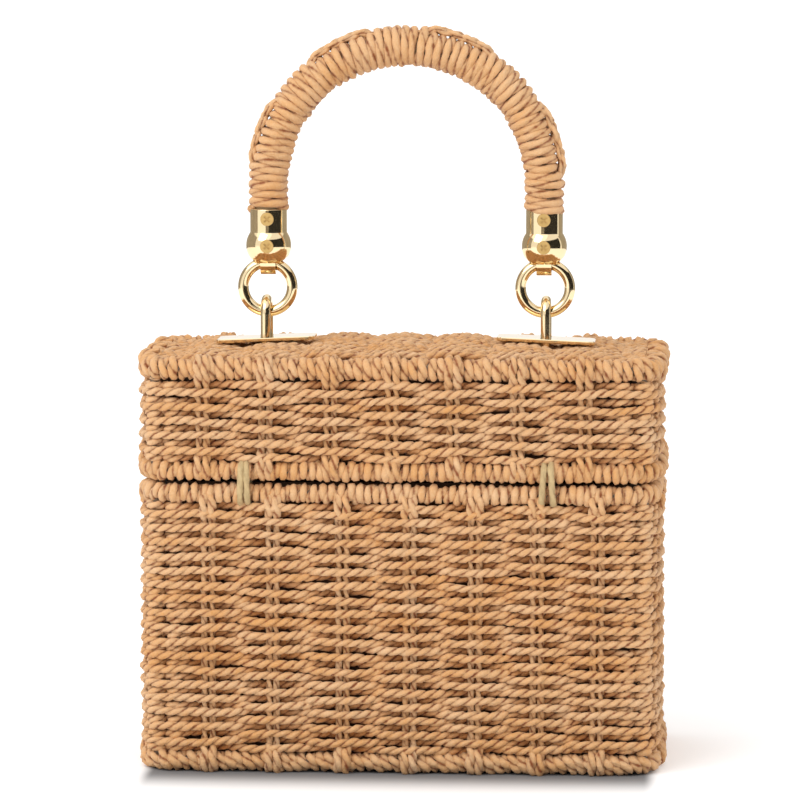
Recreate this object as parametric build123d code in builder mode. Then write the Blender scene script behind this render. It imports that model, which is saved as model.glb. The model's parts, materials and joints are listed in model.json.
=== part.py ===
from build123d import *
from math import cos, radians, sqrt
import os

os.makedirs("parts", exist_ok=True)

# A small woven box bag: a basket with a hinged lid, and an arch handle on the lid.
# Millimetres, +Z up. X runs along the width. The hinge side faces -Y, the opening side +Y.
# The origin lies under the middle of the basket, on the surface that it stands on.

# ---- the basket ----
width = 205.0  # over the rims
depth = 105.0  # over the rims
body_height = 113.8
lid_height = 48.7
parting_gap = 0.5  # between the body's rim and the lid's rim
corner_radius = 15.0  # outside of the rims, seen from above

frame_wire = 4.0  # welded steel wire inside the rims and corners
rim_diameter = 8.3  # wire and cord wrapping together
wall_inset = 0.4  # how far the woven wall lies inside the rims' outer face
rim_clearance = 1.15  # the cavity is this much further in than the rims
panel_thickness = 6.8  # bottom and top panels
edge_drop = 0.4  # the turned-in edges end this far short of the rims' meeting faces
crown_rise = 3.5  # the lid's top is this much higher in the middle than at its ends
lining_thickness = 0.8
soft_gap = 0.15  # between soft pieces that lie against each other
wire_gap = 0.1  # round the frame wire in its wrapping

# ---- the hinge ties ----
tie_thickness = 2.6  # one strand of the tie cord
tie_width = 5.4  # two strands side by side
tie_places = {"left": -60.0, "right": 58.0}

# ---- the handle's fittings on the lid ----
staple_offset = 0.4  # each staple stands this much further out than its ring
staple_wire = 4.0
staple_play = 2.7  # what the ring's wire leaves free between a staple's legs
staple_height = 16.8  # above the plate
plate_length = 39.0
plate_depth = 18.0
plate_thickness = 1.5
plate_corner = 2.5
backing_thickness = 1.0
peen_diameter = 6.0
peen_thickness = 1.0
leg_gap = 0.15  # round a staple's leg in what it goes through

ring_offset = 0.4  # each ring hangs this much further out than the handle's leg
ring_wire = 4.3
ring_outer = 23.8
ring_slack = 0.7  # between a ring and the top of its staple

# ---- the handle ----
arch_radius = 54.8  # centreline, and so the place of the legs
leg_straight = 9.9  # from the collar's top to where the arch starts
core_diameter = 10.0
core_gap = 0.1
wrap_diameter = 16.4
braid_diameter = 3.6
braid_proud = 0.9  # how far the plaited strand stands out of the wrapping

collar_diameter = 14.7
collar_height = 7.6
ball_diameter = 18.0
ball_half_height = 6.9
eye_width = 6.0
eye_play = 2.3  # what the ring's wire leaves free in an eye
eye_wall = 1.5
core_floor = 1.7  # metal left between the eye's hole and the core's bore
edge_round = 0.4

screw_head = 5.2
screw_head_thickness = 1.4
screw_proud = 0.2
screw_shank = 3.0
screw_length = 6.0
screw_gap = 0.1
recess_length = 3.0
recess_width = 0.7
recess_depth = 0.7

# ---- the closure ----
magnet_diameter = 9.0
magnet_thickness = 2.5
magnet_gap = 0.1
tab_width = 18.0
tab_reach = 13.0
tab_height = 4.5
magnet_parting = 0.5  # from the parting plane to each magnet's face

# ---- worked out from the above ----
rim_radius = rim_diameter / 2
inner_edge = rim_diameter + soft_gap  # where the panels meet the rims
cavity_inset = inner_edge + rim_clearance
lining_inset = cavity_inset + soft_gap
lid_bottom = body_height + parting_gap
lid_top = lid_bottom + lid_height
parting_plane = body_height + parting_gap / 2
crown_half_width = width / 2 - inner_edge
crown_radius = (crown_half_width**2 + crown_rise**2) / (2 * crown_rise)
ring_radius = (ring_outer - ring_wire) / 2
ring_x = arch_radius + ring_offset
staple_x = ring_x + staple_offset
staple_inner_width = ring_wire + staple_play
eye_hole = ring_wire + eye_play
eye_diameter = eye_hole + 2 * eye_wall
leg_y = (staple_inner_width + staple_wire) / 2
sides = {"left": -1, "right": 1}


def crown_at(x):
    """Height of the lid's crowned top over its ends, at x."""
    return crown_rise - crown_radius + sqrt(crown_radius**2 - x**2)


def box_outline(inset):
    """A rounded rectangle in the open sketch, this far inside the rims' outer face."""
    return RectangleRounded(
        width - 2 * inset, depth - 2 * inset, max(corner_radius - inset, 1.0)
    )


def rim_ring(z, diameter):
    """A closed round bar along a rim's centreline at height z: one half and its mirror image."""
    half_x = width / 2 - rim_radius
    half_y = depth / 2 - rim_radius
    turns = [(0, -half_y), (half_x, -half_y), (half_x, half_y), (0, half_y)]
    with BuildPart() as bar:
        with BuildLine(Plane.XY.offset(z)):
            FilletPolyline(*turns, radius=corner_radius - rim_radius)
        with BuildSketch(Plane(origin=(0, -half_y, z), z_dir=(1, 0, 0))):
            Circle(diameter / 2)
        sweep()
        mirror(about=Plane.YZ)
    return bar.part


def corner_posts():
    """Where the frame's four upright wires stand, seen from above."""
    turn = (corner_radius - rim_radius) * (1 - cos(radians(45)))
    x = width / 2 - rim_radius - turn
    y = depth / 2 - rim_radius - turn
    return [(-x, -y), (x, -y), (x, y), (-x, y)]


def uprights(z_low, z_high, diameter):
    """A round bar at each of the frame's posts."""
    with BuildPart() as bars:
        with BuildSketch(Plane.XY.offset(z_low)):
            with Locations(*corner_posts()):
                Circle(diameter / 2)
        extrude(amount=z_high - z_low)
    return bars.part


def save(part, name):
    part.label = name
    export_step(part, f"parts/{name}.step")


# ---- wire frames ----
body_loops = (rim_radius, body_height - rim_radius)
lid_loops = (lid_bottom + rim_radius, lid_top - rim_radius)

for name, loops in (("body_frame", body_loops), ("lid_frame", lid_loops)):
    with BuildPart() as frame:
        add(rim_ring(loops[0], frame_wire))
        add(rim_ring(loops[1], frame_wire))
        add(uprights(*loops, frame_wire))
    save(frame.part, name)

# ---- wrapped rims: tubes of cord round the frame's wires ----
wire_room = frame_wire + 2 * wire_gap
body_post_room = uprights(*body_loops, wire_room)
lid_post_room = uprights(*lid_loops, wire_room)

for name, loop_z, post_room in (
    ("body_bottom_rim", body_loops[0], body_post_room),
    ("body_top_rim", body_loops[1], body_post_room),
    ("lid_bottom_rim", lid_loops[0], lid_post_room),
    ("lid_top_rim", lid_loops[1], lid_post_room),
):
    with BuildPart() as rim:
        add(rim_ring(loop_z, rim_diameter))
        add(rim_ring(loop_z, wire_room), mode=Mode.SUBTRACT)
        add(post_room, mode=Mode.SUBTRACT)
    save(rim.part, name)


# ---- hinge ties ----
def tie_band(x, spread):
    """A closed band round both rims on the hinge side, at x, and spread wider all round."""
    inner_half = rim_radius + soft_gap - spread
    outer_half = rim_radius + soft_gap + tie_thickness + spread
    straight = rim_diameter + parting_gap
    origin = (x - tie_width / 2 - spread, -depth / 2 + rim_radius, parting_plane)
    with BuildPart() as band:
        with BuildSketch(Plane(origin=origin, x_dir=(0, 1, 0), z_dir=(1, 0, 0))):
            SlotCenterToCenter(straight, 2 * outer_half, rotation=90)
            SlotCenterToCenter(straight, 2 * inner_half, rotation=90, mode=Mode.SUBTRACT)
        extrude(amount=tie_width + 2 * spread)
    return band.part


with BuildPart() as tie_room:
    for tie_x in tie_places.values():
        add(tie_band(tie_x, soft_gap))

for side, tie_x in tie_places.items():
    with BuildPart() as hinge_tie:
        add(tie_band(tie_x, 0.0))
    save(hinge_tie.part, f"hinge_tie_{side}")

# ---- woven body ----
with BuildPart() as body_weave:
    with BuildSketch(Plane.XY):
        box_outline(inner_edge)
    extrude(amount=body_height - edge_drop)
    with BuildSketch(Plane.XY.offset(inner_edge)):
        box_outline(wall_inset)
    extrude(amount=body_height - 2 * inner_edge)
    with BuildSketch(Plane.XY.offset(panel_thickness)):
        box_outline(cavity_inset)
    extrude(amount=body_height, mode=Mode.SUBTRACT)
    add(body_post_room, mode=Mode.SUBTRACT)
    add(tie_room.part, mode=Mode.SUBTRACT)
save(body_weave.part, "body_weave")

with BuildPart() as body_lining:
    lining_floor = panel_thickness + soft_gap
    with BuildSketch(Plane.XY.offset(lining_floor)):
        box_outline(lining_inset)
    extrude(amount=body_height - edge_drop - lining_floor)
    with BuildSketch(Plane.XY.offset(lining_floor + lining_thickness)):
        box_outline(lining_inset + lining_thickness)
    extrude(amount=body_height, mode=Mode.SUBTRACT)
    add(tie_room.part, mode=Mode.SUBTRACT)
save(body_lining.part, "body_lining")


# ---- woven lid ----
def crowned_block(drop, inset, z_low):
    """A block with the box's outline, from z_low up to the lid's crown lowered by drop."""
    end = width / 2
    end_z = lid_top - drop + crown_at(end)
    middle_z = lid_top - drop + crown_rise
    with BuildPart() as block:
        with BuildSketch(Plane.XY.offset(z_low)):
            box_outline(inset)
        extrude(amount=middle_z - z_low)
        with BuildSketch(Plane.XZ):
            with BuildLine():
                Polyline((-end, end_z), (-end, z_low), (end, z_low), (end, end_z))
                ThreePointArc((end, end_z), (0, middle_z), (-end, end_z))
            make_face()
        extrude(amount=depth / 2, both=True, mode=Mode.INTERSECT)
    return block.part


with BuildPart() as leg_room:
    with BuildSketch(Plane.XY.offset(lid_bottom)):
        with Locations((-staple_x, -leg_y), (-staple_x, leg_y), (staple_x, -leg_y), (staple_x, leg_y)):
            Circle(staple_wire / 2 + leg_gap)
    extrude(amount=2 * lid_height)

with BuildPart() as lid_weave:
    add(crowned_block(0, inner_edge, lid_bottom + edge_drop))
    with BuildSketch(Plane.XY.offset(lid_bottom + inner_edge)):
        box_outline(wall_inset)
    extrude(amount=lid_height - 2 * inner_edge)
    add(crowned_block(panel_thickness, cavity_inset, lid_bottom), mode=Mode.SUBTRACT)
    add(lid_post_room, mode=Mode.SUBTRACT)
    add(tie_room.part, mode=Mode.SUBTRACT)
    add(leg_room.part, mode=Mode.SUBTRACT)
save(lid_weave.part, "lid_weave")

with BuildPart() as lid_lining:
    lining_drop = panel_thickness + soft_gap
    add(crowned_block(lining_drop, lining_inset, lid_bottom + edge_drop))
    add(
        crowned_block(lining_drop + lining_thickness, lining_inset + lining_thickness, lid_bottom),
        mode=Mode.SUBTRACT,
    )
    add(tie_room.part, mode=Mode.SUBTRACT)
    add(leg_room.part, mode=Mode.SUBTRACT)
save(lid_lining.part, "lid_lining")


# ---- fittings on the lid ----
def crown_plane(x):
    """The plane that touches the lid's crowned top at x."""
    slope = x / crown_radius
    return Plane(
        origin=(x, 0, lid_top + crown_at(x)),
        x_dir=(sqrt(1 - slope**2), 0, -slope),
        z_dir=(slope, 0, sqrt(1 - slope**2)),
    )


plate_top = lid_top + crown_at(staple_x) + plate_thickness
staple_inner_top = plate_top + staple_height - staple_wire
lower_pivot = staple_inner_top - ring_slack - ring_wire / 2
upper_pivot = lower_pivot + 2 * ring_radius
plate_sagitta = (plate_length / 2) ** 2 / (2 * crown_radius)  # of the crown over a plate's length
backing_drop = panel_thickness + 2 * soft_gap + lining_thickness + plate_sagitta
peen_drop = backing_drop + backing_thickness

for side, sign in sides.items():
    x = sign * staple_x
    seat = crown_plane(x)
    with BuildPart() as top_plate:
        with BuildSketch(seat):
            RectangleRounded(plate_length, plate_depth, plate_corner)
        extrude(amount=plate_thickness)
        upper_edges = top_plate.faces().sort_by(Axis.Z)[-1].edges()
        chamfer(upper_edges, plate_thickness / 5)
        add(leg_room.part, mode=Mode.SUBTRACT)
    save(top_plate.part, f"top_plate_{side}")

    with BuildPart() as backing_plate:
        with BuildSketch(seat.offset(-peen_drop)):
            RectangleRounded(plate_length, plate_depth, plate_corner)
        extrude(amount=backing_thickness)
        add(leg_room.part, mode=Mode.SUBTRACT)
    save(backing_plate.part, f"backing_plate_{side}")

    with BuildPart() as staple:
        leg_end = lid_top + crown_at(staple_x) - peen_drop - peen_thickness
        bend_z = staple_inner_top + staple_wire / 2 - leg_y
        bend_plane = Plane(origin=(x, 0, 0), x_dir=(0, 1, 0), z_dir=(1, 0, 0))
        with BuildLine(bend_plane):
            Line((-leg_y, leg_end), (-leg_y, bend_z))
            ThreePointArc((-leg_y, bend_z), (0, bend_z + leg_y), (leg_y, bend_z))
            Line((leg_y, bend_z), (leg_y, leg_end))
        with BuildSketch(Plane.XY.offset(leg_end)):
            with Locations((x, -leg_y)):
                Circle(staple_wire / 2)
        sweep()
        with BuildSketch(seat.offset(-peen_drop)):
            with Locations((0, -leg_y), (0, leg_y)):
                Circle(peen_diameter / 2)
        extrude(amount=-peen_thickness)
    save(staple.part, f"staple_{side}")

    with BuildPart() as ring:
        ring_centre = Plane(
            origin=(sign * ring_x, 0, lower_pivot + ring_radius), z_dir=(0, -1, 0)
        )
        with Locations(ring_centre):
            Torus(ring_radius, ring_wire / 2)
    save(ring.part, f"ring_{side}")


# ---- handle ----
ball_z = upper_pivot + ball_half_height
collar_low = ball_z + ball_half_height
collar_top = collar_low + collar_height
arch_z = collar_top + leg_straight
core_end = upper_pivot + eye_hole / 2 + core_floor


def arch_bar(z_low, radius, diameter):
    """A round bar: up one leg, round the arch and down the other."""
    with BuildPart() as bar:
        with BuildLine(Plane.XZ):
            Line((-radius, z_low), (-radius, arch_z))
            ThreePointArc((-radius, arch_z), (0, arch_z + radius), (radius, arch_z))
            Line((radius, arch_z), (radius, z_low))
        with BuildSketch(Plane.XY.offset(z_low)):
            with Locations((-radius, 0)):
                Circle(diameter / 2)
        sweep()
    return bar.part


def screw_seats():
    """Each screw's surface plane, facing -Y, by its name."""
    seats = {}
    for side, sign in sides.items():
        for place, z, radius in (
            ("upper", collar_low + collar_height / 2, collar_diameter / 2),
            ("lower", ball_z, ball_diameter / 2),
        ):
            origin = (sign * arch_radius, -radius - screw_proud, z)
            seats[f"{side}_{place}"] = Plane(origin=origin, x_dir=(1, 0, 0), z_dir=(0, -1, 0))
    return seats


with BuildPart() as screw_room:
    for seat in screw_seats().values():
        with BuildSketch(seat):
            Circle(screw_head / 2 + screw_gap)
        extrude(amount=-screw_head_thickness - screw_gap)
        with BuildSketch(seat):
            Circle(screw_shank / 2 + screw_gap)
        extrude(amount=-screw_length - screw_gap)

for name, seat in screw_seats().items():
    with BuildPart() as screw:
        with BuildSketch(seat):
            Circle(screw_head / 2)
        extrude(amount=-screw_head_thickness)
        with BuildSketch(seat):
            Circle(screw_shank / 2)
        extrude(amount=-screw_length)
        with BuildSketch(seat):
            with Locations((0, 0)):
                Rectangle(recess_length, recess_width, rotation=45)
                Rectangle(recess_length, recess_width, rotation=-45)
        extrude(amount=-recess_depth, mode=Mode.SUBTRACT)
    save(screw.part, f"ferrule_screw_{name}")

for side, sign in sides.items():
    axis_x = sign * arch_radius
    with BuildPart() as ferrule:
        flat_radius = sqrt((ball_diameter / 2) ** 2 - ball_half_height**2)
        neck_z = ball_z + sqrt((ball_diameter / 2) ** 2 - (collar_diameter / 2) ** 2)
        with BuildSketch(Plane(origin=(axis_x, 0, 0), x_dir=(1, 0, 0), z_dir=(0, -1, 0))):
            with BuildLine():
                Polyline(
                    (collar_diameter / 2, neck_z),
                    (collar_diameter / 2, collar_top),
                    (0, collar_top),
                    (0, upper_pivot),
                    (flat_radius, upper_pivot),
                )
                ThreePointArc(
                    (flat_radius, upper_pivot),
                    (ball_diameter / 2, ball_z),
                    (collar_diameter / 2, neck_z),
                )
            make_face()
        revolve(axis=Axis((axis_x, 0, 0), (0, 0, 1)))
        with BuildSketch(Plane.YZ.offset(axis_x - eye_width / 2)):
            with Locations((0, upper_pivot)):
                Circle(eye_diameter / 2)
        extrude(amount=eye_width)
        fillet(ferrule.faces().sort_by(Axis.Z)[-1].edges(), edge_round)
        with BuildSketch(Plane.YZ.offset(axis_x - ball_diameter / 2)):
            with Locations((0, upper_pivot)):
                Circle(eye_hole / 2)
        extrude(amount=ball_diameter, mode=Mode.SUBTRACT)
        with BuildSketch(Plane.XY.offset(core_end - core_gap)):
            with Locations((axis_x, 0)):
                Circle(core_diameter / 2 + core_gap)
        extrude(amount=collar_top, mode=Mode.SUBTRACT)
        add(screw_room.part, mode=Mode.SUBTRACT)
    save(ferrule.part, f"ferrule_{side}")

with BuildPart() as handle_core:
    add(arch_bar(core_end, arch_radius, core_diameter))
    add(screw_room.part, mode=Mode.SUBTRACT)
save(handle_core.part, "handle_core")

wrap_low = collar_top + soft_gap
braid_radius = arch_radius + wrap_diameter / 2 + braid_proud - braid_diameter / 2

with BuildPart() as handle_wrap:
    add(arch_bar(wrap_low, arch_radius, wrap_diameter))
    add(arch_bar(core_end, arch_radius, core_diameter + 2 * core_gap), mode=Mode.SUBTRACT)
    add(arch_bar(wrap_low, braid_radius, braid_diameter + 2 * soft_gap), mode=Mode.SUBTRACT)
save(handle_wrap.part, "handle_wrap")

with BuildPart() as handle_braid:
    add(arch_bar(wrap_low, braid_radius, braid_diameter))
save(handle_braid.part, "handle_braid")


# ---- magnetic catch inside the opening side ----
def catch(z_face, away, name):
    """A sewn tab on the lining with a magnet flush in the face at z_face."""
    lining_face = depth / 2 - lining_inset - lining_thickness - soft_gap
    middle = (0, lining_face - tab_reach / 2)
    face = Plane(origin=(0, 0, z_face), x_dir=(1, 0, 0), z_dir=(0, 0, away))
    place = (middle[0], middle[1] * away)
    with BuildPart() as tab:
        with BuildSketch(face):
            with Locations(place):
                RectangleRounded(tab_width, tab_reach, 2 * lining_thickness)
        extrude(amount=tab_height)
        with BuildSketch(face):
            with Locations(place):
                Circle(magnet_diameter / 2 + magnet_gap)
        extrude(amount=magnet_thickness + magnet_gap, mode=Mode.SUBTRACT)
    save(tab.part, f"{name}_catch_tab")
    with BuildPart() as magnet:
        with BuildSketch(face):
            with Locations(place):
                Circle(magnet_diameter / 2)
        extrude(amount=magnet_thickness)
    save(magnet.part, f"{name}_magnet")


catch(parting_plane - magnet_parting, -1, "body")
catch(parting_plane + magnet_parting, 1, "lid")
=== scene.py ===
import json
import math
import random

import bpy
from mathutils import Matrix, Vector


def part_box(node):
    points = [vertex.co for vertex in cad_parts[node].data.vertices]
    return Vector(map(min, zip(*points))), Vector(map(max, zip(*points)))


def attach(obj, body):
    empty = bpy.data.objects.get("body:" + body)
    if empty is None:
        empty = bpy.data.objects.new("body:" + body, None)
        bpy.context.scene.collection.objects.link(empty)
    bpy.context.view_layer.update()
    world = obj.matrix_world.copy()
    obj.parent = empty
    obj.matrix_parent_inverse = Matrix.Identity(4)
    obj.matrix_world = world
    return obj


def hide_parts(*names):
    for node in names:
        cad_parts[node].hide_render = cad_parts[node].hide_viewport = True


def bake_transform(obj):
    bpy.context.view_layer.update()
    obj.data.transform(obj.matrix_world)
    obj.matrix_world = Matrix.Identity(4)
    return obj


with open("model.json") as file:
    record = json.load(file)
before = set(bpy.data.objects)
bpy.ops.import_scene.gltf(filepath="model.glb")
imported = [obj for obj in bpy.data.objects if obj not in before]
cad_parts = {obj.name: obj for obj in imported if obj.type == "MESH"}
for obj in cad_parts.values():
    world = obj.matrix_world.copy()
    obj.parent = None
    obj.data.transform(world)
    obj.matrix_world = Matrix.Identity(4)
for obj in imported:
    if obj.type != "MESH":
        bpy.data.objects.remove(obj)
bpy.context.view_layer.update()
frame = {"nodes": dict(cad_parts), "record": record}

MM = 0.001

# ---- sizes taken from the frame ----
RIM = {name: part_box(name) for name in ("body_bottom_rim", "body_top_rim", "lid_bottom_rim", "lid_top_rim")}
HALF_X = RIM["body_top_rim"][1][0]
HALF_Y = RIM["body_top_rim"][1][1]
RIM_RADIUS = (RIM["body_top_rim"][1][2] - RIM["body_top_rim"][0][2]) / 2
BODY_TOP = RIM["body_top_rim"][1][2]
LID_LOW = RIM["lid_bottom_rim"][0][2]
LID_TOP = RIM["lid_top_rim"][1][2]
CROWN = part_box("lid_weave")[1][2] - LID_TOP
GRIP_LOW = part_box("handle_wrap")[0][2]
GRIP_RADIUS = (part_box("handle_wrap")[1][1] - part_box("handle_wrap")[0][1]) / 2
CORE_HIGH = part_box("handle_core")[1]
CORE_RADIUS = CORE_HIGH[1]
LEG_X = CORE_HIGH[0] - CORE_RADIUS  # the middle of a leg, and the arch's radius
ARCH_Z = CORE_HIGH[2] - CORE_RADIUS - LEG_X  # the arch's centre
WIRE = 4.0 * MM  # the frame's wire
CORNER = 15.0 * MM - RIM_RADIUS  # the rims' centreline at a corner

# ---- cords ----
WEFT = 3.5 * MM  # the woven cord
WEFT_LAY = 9.3 * MM  # one full turn of its two plies
SWING = 2.25 * MM  # how far a weft passes to either side of the stakes
PANEL_SWING = 1.85 * MM  # the same in the lid's top and the bottom
WALL_PLANE = 3.4 * MM  # the stakes' plane, in from the rims' outer face
ROW_PITCH = 2.8 * MM
ROW_INSET = WEFT * 0.32  # from a rim to the middle of the weft beside it
GAUGE = 0.8 * MM  # between the points of a row's outline
STAKE = 3.1 * MM  # one cord of the pair that makes a stake
STAKE_LAY = 12.0 * MM
STAKE_PAIR = 3.2 * MM  # between the two cords of a pair
RIM_CORD = 4.3 * MM
RIM_LAY = 11.0 * MM
RIM_PITCH = 3.6 * MM  # from one turn to the next
TOP_RIM_EXTRA = 1.1 * MM  # the lid's top rim is bound deeper than the others
TOP_ROW_GAP = 0.7 * MM  # below that binding
POST_CORD = 1.3 * MM
TIE_CORD = 2.5 * MM
HANDLE_CORD = 3.9 * MM
HANDLE_PITCH = 3.3 * MM
BRAID_CORD = 2.7 * MM

WHITE = (1, 1, 1, 1)

# Where the stakes stand along the hinge side, in millimetres from the middle.
BODY_STAKES = (-74.3, -49.0, -21.8, 4.3, 30.0, 54.0, 77.4)
LID_STAKES = (-76.3, -51.8, -26.5, -2.3, 21.4, 46.3, 72.4)
SIDE_STAKES = (-24.5, 0.5, 24.0)  # the same along the ends
TIES = {"left": -60.0 * MM, "right": 58.0 * MM}


# ---- building node trees ----
def socket_of(sockets, label):
    """A socket by its identifier or, failing that, its name."""
    for socket in sockets:
        if socket.identifier == label:
            return socket
    return next(socket for socket in sockets if socket.name == label and socket.enabled)


def outputs_of(node):
    """A node's outputs by place, by name and by identifier."""
    found = dict(enumerate(node.outputs))
    found |= {socket.name: socket for socket in node.outputs if socket.enabled}
    return found | {socket.identifier: socket for socket in node.outputs}


class Tree:
    """A geometry node tree with named inputs, as it is being built."""

    def __init__(self, name, inputs):
        self.group = bpy.data.node_groups.new(name, "GeometryNodeTree")
        face = self.group.interface
        face.new_socket("Geometry", in_out="OUTPUT", socket_type="NodeSocketGeometry")
        face.new_socket("Geometry", in_out="INPUT", socket_type="NodeSocketGeometry")
        for label, kind in inputs:
            face.new_socket(label, in_out="INPUT", socket_type=f"NodeSocket{kind}")
        self.inputs = self.group.nodes.new("NodeGroupInput").outputs

    def add(self, kind, values=None, **settings):
        """A node with its settings made and its inputs set or linked. Returns its outputs."""
        node = self.group.nodes.new(kind)
        for key, value in settings.items():
            setattr(node, key, value)
        for label, value in (values or {}).items():
            socket = socket_of(node.inputs, label) if isinstance(label, str) else node.inputs[label]
            if isinstance(value, bpy.types.NodeSocket):
                self.group.links.new(value, socket)
            else:
                socket.default_value = value
        return outputs_of(node)

    def math(self, operation, a, b=0.0, c=0.0):
        return self.add("ShaderNodeMath", {0: a, 1: b, 2: c}, operation=operation)[0]

    def vector(self, operation, a, b=(0, 0, 0)):
        return self.add("ShaderNodeVectorMath", {0: a, 1: b}, operation=operation)[0]

    def scaled(self, a, factor):
        return self.add("ShaderNodeVectorMath", {0: a, "Scale": factor}, operation="SCALE")[0]

    def parts(self, a):
        return self.add("ShaderNodeSeparateXYZ", {0: a})

    def noise(self, where, scale):
        """Smooth noise from about -0.5 to 0.5."""
        values = {"Vector": where, "Scale": scale, "Detail": 1.0}
        return self.math("SUBTRACT", self.add("ShaderNodeTexNoise", values)["Fac"], 0.5)

    def store(self, geometry, name, value):
        values = {"Geometry": geometry, "Name": name, "Value": value}
        return self.add("GeometryNodeStoreNamedAttribute", values, data_type="FLOAT")["Geometry"]

    def cord(self, curves):
        """The curves laid up as twisted cord, with the material set, as this tree's result."""
        values = {"Geometry": curves}
        for label, _ in CORD_INPUTS[:-1]:
            values[label] = self.inputs[label]
        node = self.group.nodes.new("GeometryNodeGroup")
        node.node_tree = LAID_CORD
        for label, value in values.items():
            self.group.links.new(value, node.inputs[label])
        self.finish(node.outputs[0])

    def finish(self, geometry):
        real = self.add("GeometryNodeRealizeInstances", {"Geometry": geometry})["Geometry"]
        values = {"Geometry": real, "Material": self.inputs["Material"]}
        done = self.add("GeometryNodeSetMaterial", values)["Geometry"]
        self.add("NodeGroupOutput", {"Geometry": done})


CORD_INPUTS = (
    ("Diameter", "Float"),
    ("Lay", "Float"),  # length of one full turn of the plies
    ("Step", "Float"),  # between cross-sections
    ("Sides", "Int"),
    ("Groove", "Float"),  # the section's size between the plies, as a share of its radius
    ("Seed", "Int"),
    ("Material", "Material"),
)


def laid_cord():
    """Curves to cords of two plies twisted together."""
    tree = Tree("laid_cord", CORD_INPUTS[:-1])
    given = tree.inputs
    curves = tree.add(
        "GeometryNodeResampleCurve", {"Curve": given["Geometry"], "Length": given["Step"]}, mode="LENGTH"
    )[0]
    number = tree.add("GeometryNodeCurveOfPoint")["Curve Index"]
    tone = tree.add(
        "FunctionNodeRandomValue", {"ID": number, "Seed": given["Seed"]}, data_type="FLOAT"
    )["Value_001"]
    length = tree.add("GeometryNodeSplineParameter")["Length"]
    place = tree.add("GeometryNodeInputPosition")[0]
    uneven = tree.math("MULTIPLY", tree.noise(place, 90.0), 1.5)
    # whole turns, so a closed cord meets itself
    whole = tree.add("GeometryNodeSplineLength")["Length"]
    whole = tree.math("ROUND", tree.math("DIVIDE", whole, given["Lay"]), 0.0)
    share = tree.add("GeometryNodeSplineParameter")["Factor"]
    turn = tree.math("MULTIPLY", tree.math("MULTIPLY", share, whole), -2 * math.pi)
    start = tree.math("MULTIPLY", tone, 40.0)
    tilt = tree.math("ADD", tree.math("ADD", turn, uneven), start)
    curves = tree.store(curves, "tone", tone)
    curves = tree.store(curves, "along", length)
    apart = tree.vector("ADD", place, (0.7, 0.2, 0.5))
    thick = tree.math("MULTIPLY_ADD", tree.noise(apart, 170.0), 0.55, 1.0)
    thick = tree.math("MULTIPLY", thick, tree.add("GeometryNodeInputRadius")[0])
    curves = tree.add("GeometryNodeSetCurveTilt", {"Curve": curves, "Tilt": tilt})[0]

    sides = given["Sides"]
    circle = tree.add("GeometryNodeCurvePrimitiveCircle", {"Resolution": sides})[0]
    # a corner of the section always lies in the groove
    lead = tree.math("MULTIPLY", tree.math("MODULO", tree.math("MULTIPLY", sides, 0.5), 2.0), 0.5)
    index = tree.math("ADD", tree.add("GeometryNodeInputIndex")[0], lead)
    angle = tree.math("DIVIDE", tree.math("MULTIPLY", index, 2 * math.pi), sides)
    crest = tree.math("MULTIPLY", tree.math("ABSOLUTE", tree.math("COSINE", angle)), 1.3)
    crest = tree.math("MINIMUM", crest, 1.0)
    spare = tree.math("SUBTRACT", 1.0, given["Groove"])
    share = tree.math("MULTIPLY_ADD", crest, spare, given["Groove"])
    radius = tree.math("MULTIPLY", tree.math("MULTIPLY", share, given["Diameter"]), 0.5)
    across = tree.math("MULTIPLY", tree.math("COSINE", angle), radius)
    up = tree.math("MULTIPLY", tree.math("SINE", angle), radius)
    point = tree.add("ShaderNodeCombineXYZ", {"X": across, "Y": up})[0]
    circle = tree.store(circle, "ply", crest)
    circle = tree.add("GeometryNodeSetPosition", {"Geometry": circle, "Position": point})[0]
    parts = {"Curve": curves, "Profile Curve": circle, "Scale": thick, "Fill Caps": True}
    mesh = tree.add("GeometryNodeCurveToMesh", parts)[0]
    # the paper's small creases
    crumple = tree.math("MULTIPLY", tree.noise(place, 520.0), tree.math("MULTIPLY", given["Diameter"], 0.32))
    crumple = tree.scaled(tree.add("GeometryNodeInputNormal")[0], crumple)
    mesh = tree.add("GeometryNodeSetPosition", {"Geometry": mesh, "Offset": crumple})[0]
    smooth = tree.add("GeometryNodeSetShadeSmooth", {"Geometry": mesh})[0]
    tree.add("NodeGroupOutput", {"Geometry": smooth})
    return tree.group


LAID_CORD = laid_cord()


def plain_cords():
    """Curves that are laid up just as they lie, such as stakes and ties."""
    tree = Tree("plain_cords", CORD_INPUTS)
    tree.cord(tree.inputs["Geometry"])
    return tree.group


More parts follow.
